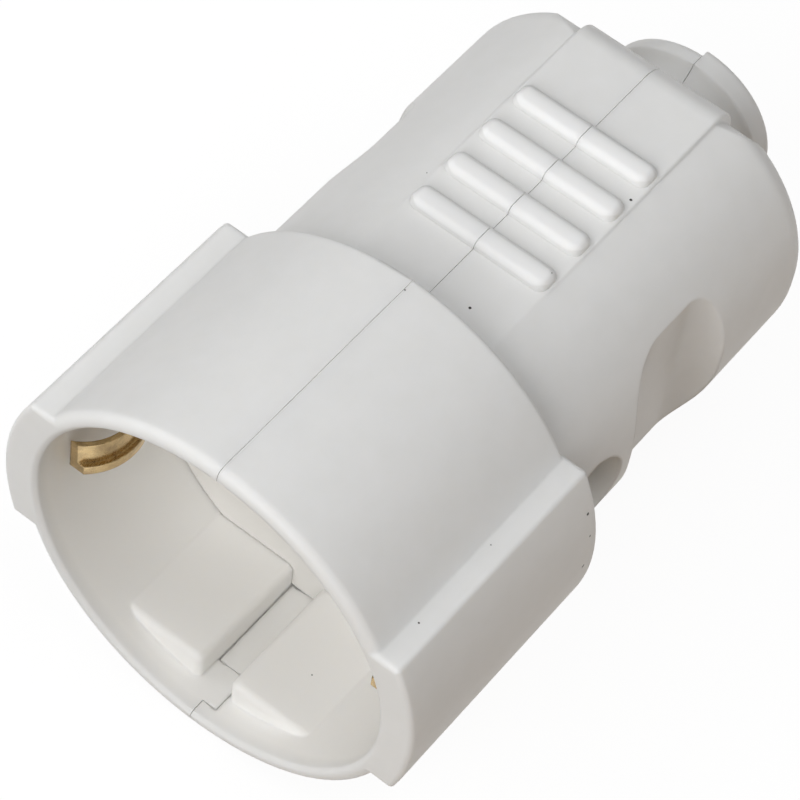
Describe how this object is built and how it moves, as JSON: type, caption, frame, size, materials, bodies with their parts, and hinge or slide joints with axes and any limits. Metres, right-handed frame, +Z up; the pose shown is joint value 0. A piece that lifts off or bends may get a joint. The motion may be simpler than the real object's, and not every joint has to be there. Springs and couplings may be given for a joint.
{
  "type": "in-line power socket",
  "caption": "Split moulded in-line power socket: round plug recess with side earth clips, side wings, oval grip with ribbed thumb panels and finger scoops, flared cable collar.",
  "frame": {"origin": "centre of the plug recess in the plane of the mouth rim", "axes": "+X out of the mouth along the plug axis, +Z up through the ribbed panel, the halves part at y = 0"},
  "size_m": [0.0779, 0.0476, 0.0434],
  "materials": {
    "shell_plastic": "moulded white plastic, satin",
    "carrier_plastic": "moulded plastic",
    "contact_brass": "drawn brass",
    "strip_brass": "rolled brass strip",
    "spring_steel": "bright spring steel",
    "screw_steel": "zinc-plated steel"
  },
  "bodies": {
    "root": {"left_shell": "shell_plastic", "right_shell": "shell_plastic", "contact_carrier": "carrier_plastic", "line_contact": "contact_brass", "neutral_contact": "contact_brass", "sleeve_springs": "spring_steel", "earth_strip": "strip_brass", "terminal_screws": "screw_steel", "earth_screw": "screw_steel", "earth_washer": "screw_steel", "clamp_bar": "carrier_plastic", "clamp_screws": "screw_steel", "housing_screw": "screw_steel", "housing_nut": "screw_steel"}
  },
  "joints": []
}
